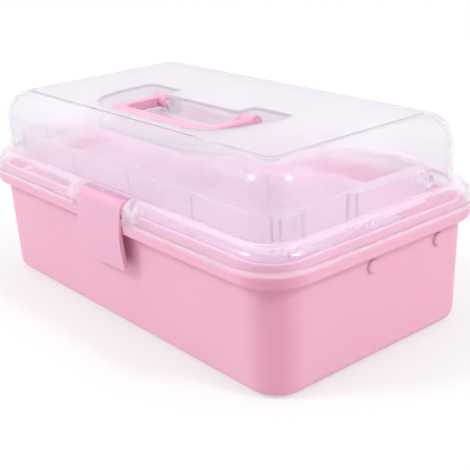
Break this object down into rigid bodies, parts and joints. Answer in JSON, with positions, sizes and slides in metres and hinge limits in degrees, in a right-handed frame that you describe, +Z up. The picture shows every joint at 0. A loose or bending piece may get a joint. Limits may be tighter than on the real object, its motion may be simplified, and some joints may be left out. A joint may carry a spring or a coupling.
{
  "type": "plastic tool box",
  "caption": "Plastic tool box: a deep tub with a domed see-through lid, a folding handle set into the top, a front latch, and trays on parallel arms that rise as the lid opens.",
  "frame": {"origin": "middle of the tub's underside", "axes": "+X along the length to the right, +Y to the back where the hinges are, +Z up"},
  "size_m": [0.3318, 0.2023, 0.1409],
  "materials": {
    "pink_plastic": "smooth moulded, semi-gloss",
    "clear_plastic": "clear moulded, glossy",
    "frosted_plastic": "frosted translucent moulded",
    "pin_steel": "drawn wire"
  },
  "bodies": {
    "base": {"base_tub": "pink_plastic", "hinge_pin_left": "pin_steel", "hinge_pin_right": "pin_steel", "base_rivet_front_left": "pink_plastic", "base_rivet_rear_left": "pink_plastic", "base_rivet_front_right": "pink_plastic", "base_rivet_rear_right": "pink_plastic"},
    "lid": {"lid": "clear_plastic"},
    "handle": {"handle": "pink_plastic"},
    "latch": {"latch": "pink_plastic"},
    "front_arms": {"arm_front_left": "frosted_plastic", "arm_front_right": "frosted_plastic"},
    "rear_arms": {"arm_rear_left": "frosted_plastic", "arm_rear_right": "frosted_plastic"},
    "lower_tray_body": {"lower_tray": "frosted_plastic", "lower_rivet_front_left": "frosted_plastic", "lower_rivet_rear_left": "frosted_plastic", "lower_rivet_front_right": "frosted_plastic", "lower_rivet_rear_right": "frosted_plastic"},
    "upper_tray_body": {"upper_tray": "frosted_plastic", "upper_rivet_front_left": "frosted_plastic", "upper_rivet_rear_left": "frosted_plastic", "upper_rivet_front_right": "frosted_plastic", "upper_rivet_rear_right": "frosted_plastic"}
  },
  "joints": [
    {"name": "lid_hinge", "type": "hinge", "parent": "base", "child": "lid", "pos_m": [0, 0.0999, 0.0813], "axis": [-1, 0, 0], "range_deg": [0, 100]},
    {"name": "handle_fold", "type": "hinge", "parent": "lid", "child": "handle", "pos_m": [0, -0.005, 0.134], "axis": [-1, 0, 0], "range_deg": [0, 125]},
    {"name": "latch_pivot", "type": "hinge", "parent": "lid", "child": "latch", "pos_m": [0, -0.092, 0.0908], "axis": [-1, 0, 0], "range_deg": [0, 120]},
    {"name": "rear_arm_swing", "type": "hinge", "parent": "base", "child": "rear_arms", "pos_m": [0, 0.0524, 0.065], "axis": [-1, 0, 0], "range_deg": [0, 100]},
    {"name": "front_arm_swing", "type": "hinge", "parent": "base", "child": "front_arms", "pos_m": [0, -0.0083, 0.065], "axis": [-1, 0, 0], "range_deg": [0, 100]},
    {"name": "lower_tray_level", "type": "hinge", "parent": "rear_arms", "child": "lower_tray_body", "pos_m": [0, 0.02626, 0.0761], "axis": [-1, 0, 0], "range_deg": [-100, 0]},
    {"name": "upper_tray_level", "type": "hinge", "parent": "rear_arms", "child": "upper_tray_body", "pos_m": [0, 0.00012, 0.08719], "axis": [-1, 0, 0], "range_deg": [-100, 0]}
  ],
  "couplings": [
    {"joint": "rear_arm_swing", "follows": "lid_hinge", "ratio": 1},
    {"joint": "front_arm_swing", "follows": "lid_hinge", "ratio": 1},
    {"joint": "lower_tray_level", "follows": "lid_hinge", "ratio": -1},
    {"joint": "upper_tray_level", "follows": "lid_hinge", "ratio": -1}
  ]
}
